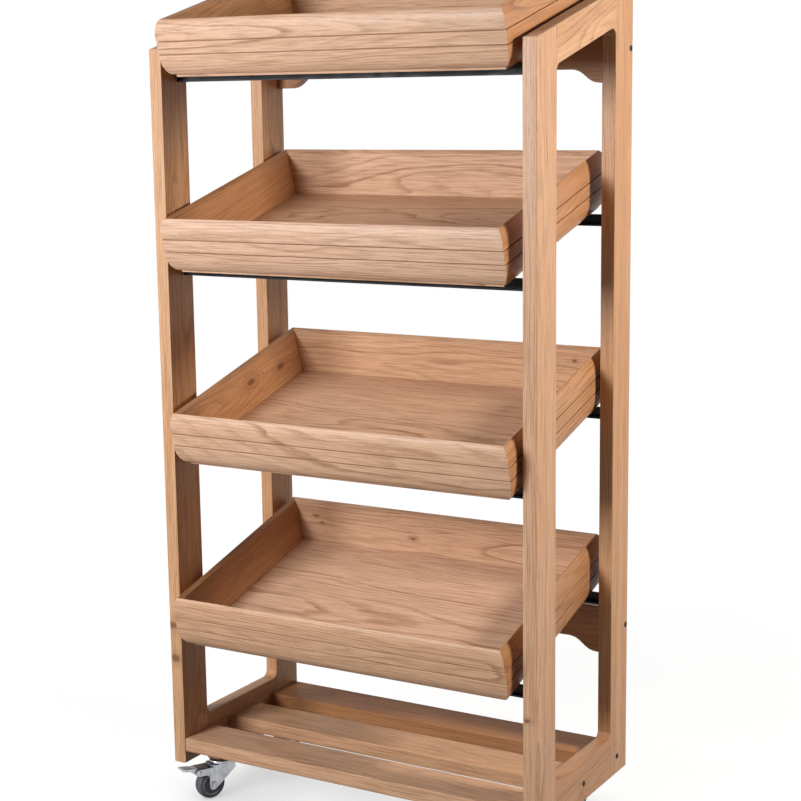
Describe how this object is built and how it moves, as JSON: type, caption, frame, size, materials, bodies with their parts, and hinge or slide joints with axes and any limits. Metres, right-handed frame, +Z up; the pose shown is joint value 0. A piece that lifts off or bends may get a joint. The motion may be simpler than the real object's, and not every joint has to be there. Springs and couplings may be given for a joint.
{
  "type": "bakery bread rack",
  "caption": "Tall oak bread display rack on swivel casters with sloping moulded trays resting on black steel bars over a slatted base.",
  "frame": {"origin": "centre of the bounding box on the floor", "axes": "+X to the right seen from the front, +Y to the back, +Z up; the front faces -Y"},
  "size_m": [0.7, 0.4022, 1.4322],
  "materials": {
    "oak": "oiled straight-grained oak, satin",
    "black_steel": "black powder coat, satin",
    "zinc_steel": "bright zinc plate, slightly blue",
    "rubber": "dark grey moulded rubber, matt"
  },
  "bodies": {
    "rack_frame": {"left_front_post": "oak", "left_back_post": "oak", "left_top_rail": "oak", "left_bottom_rail": "oak", "right_front_post": "oak", "right_back_post": "oak", "right_top_rail": "oak", "right_bottom_rail": "oak", "front_slat": "oak", "middle_slat": "oak", "back_slat": "oak", "lower_back_apron": "oak", "upper_back_apron": "oak", "left_base_bearer": "oak", "right_base_bearer": "oak", "tray_1_front_bar": "black_steel", "tray_1_back_bar": "black_steel", "tray_2_front_bar": "black_steel", "tray_2_back_bar": "black_steel", "tray_3_front_bar": "black_steel", "tray_3_back_bar": "black_steel", "tray_4_front_bar": "black_steel", "tray_4_back_bar": "black_steel", "front_left_caster_head": "zinc_steel", "front_right_caster_head": "zinc_steel", "back_left_caster_head": "zinc_steel", "back_right_caster_head": "zinc_steel"},
    "tray_1": {"tray_1_front_board": "oak", "tray_1_back_board": "oak", "tray_1_left_board": "oak", "tray_1_right_board": "oak", "tray_1_bottom_panel": "oak"},
    "tray_2": {"tray_2_front_board": "oak", "tray_2_back_board": "oak", "tray_2_left_board": "oak", "tray_2_right_board": "oak", "tray_2_bottom_panel": "oak"},
    "tray_3": {"tray_3_front_board": "oak", "tray_3_back_board": "oak", "tray_3_left_board": "oak", "tray_3_right_board": "oak", "tray_3_bottom_panel": "oak"},
    "tray_4": {"tray_4_front_board": "oak", "tray_4_back_board": "oak", "tray_4_left_board": "oak", "tray_4_right_board": "oak", "tray_4_bottom_panel": "oak"},
    "front_left_swivel": {"front_left_caster_fork": "zinc_steel"},
    "front_left_wheel": {"front_left_caster_wheel": "rubber"},
    "front_left_brake": {"front_left_brake_pedal": "zinc_steel"},
    "front_right_swivel": {"front_right_caster_fork": "zinc_steel"},
    "front_right_wheel": {"front_right_caster_wheel": "rubber"},
    "front_right_brake": {"front_right_brake_pedal": "zinc_steel"},
    "back_left_swivel": {"back_left_caster_fork": "zinc_steel"},
    "back_left_wheel": {"back_left_caster_wheel": "rubber"},
    "back_right_swivel": {"back_right_caster_fork": "zinc_steel"},
    "back_right_wheel": {"back_right_caster_wheel": "rubber"}
  },
  "joints": [
    {"name": "tray_1_draw_out", "type": "slide", "parent": "rack_frame", "child": "tray_1", "axis": [0, -1, 0], "range_m": [0, 0.3]},
    {"name": "tray_2_draw_out", "type": "slide", "parent": "rack_frame", "child": "tray_2", "axis": [0, -1, 0], "range_m": [0, 0.3]},
    {"name": "tray_3_draw_out", "type": "slide", "parent": "rack_frame", "child": "tray_3", "axis": [0, -1, 0], "range_m": [0, 0.3]},
    {"name": "tray_4_draw_out", "type": "slide", "parent": "rack_frame", "child": "tray_4", "axis": [0, -1, 0], "range_m": [0, 0.3]},
    {"name": "front_left_swivel_turn", "type": "hinge", "parent": "rack_frame", "child": "front_left_swivel", "pos_m": [-0.293, -0.10843, 0.06], "axis": [0, 0, 1], "continuous": true},
    {"name": "front_left_wheel_roll", "type": "hinge", "parent": "front_left_swivel", "child": "front_left_wheel", "pos_m": [-0.30195, -0.12853, 0.026], "axis": [0.9135, -0.4067, 0], "continuous": true},
    {"name": "front_left_brake_press", "type": "hinge", "parent": "front_left_swivel", "child": "front_left_brake", "pos_m": [-0.31293, -0.15319, 0.054], "axis": [0.9135, -0.4067, 0], "range_deg": [0, 10]},
    {"name": "front_right_swivel_turn", "type": "hinge", "parent": "rack_frame", "child": "front_right_swivel", "pos_m": [0.293, -0.10843, 0.06], "axis": [0, 0, 1], "continuous": true},
    {"name": "front_right_wheel_roll", "type": "hinge", "parent": "front_right_swivel", "child": "front_right_wheel", "pos_m": [0.28405, -0.12853, 0.026], "axis": [0.9135, -0.4067, 0], "continuous": true},
    {"name": "front_right_brake_press", "type": "hinge", "parent": "front_right_swivel", "child": "front_right_brake", "pos_m": [0.27307, -0.15319, 0.054], "axis": [0.9135, -0.4067, 0], "range_deg": [0, 10]},
    {"name": "back_left_swivel_turn", "type": "hinge", "parent": "rack_frame", "child": "back_left_swivel", "pos_m": [-0.293, 0.13257, 0.06], "axis": [0, 0, 1], "continuous": true},
    {"name": "back_left_wheel_roll", "type": "hinge", "parent": "back_left_swivel", "child": "back_left_wheel", "pos_m": [-0.30195, 0.11247, 0.026], "axis": [0.9135, -0.4067, 0], "continuous": true},
    {"name": "back_right_swivel_turn", "type": "hinge", "parent": "rack_frame", "child": "back_right_swivel", "pos_m": [0.293, 0.13257, 0.06], "axis": [0, 0, 1], "continuous": true},
    {"name": "back_right_wheel_roll", "type": "hinge", "parent": "back_right_swivel", "child": "back_right_wheel", "pos_m": [0.28405, 0.11247, 0.026], "axis": [0.9135, -0.4067, 0], "continuous": true}
  ]
}
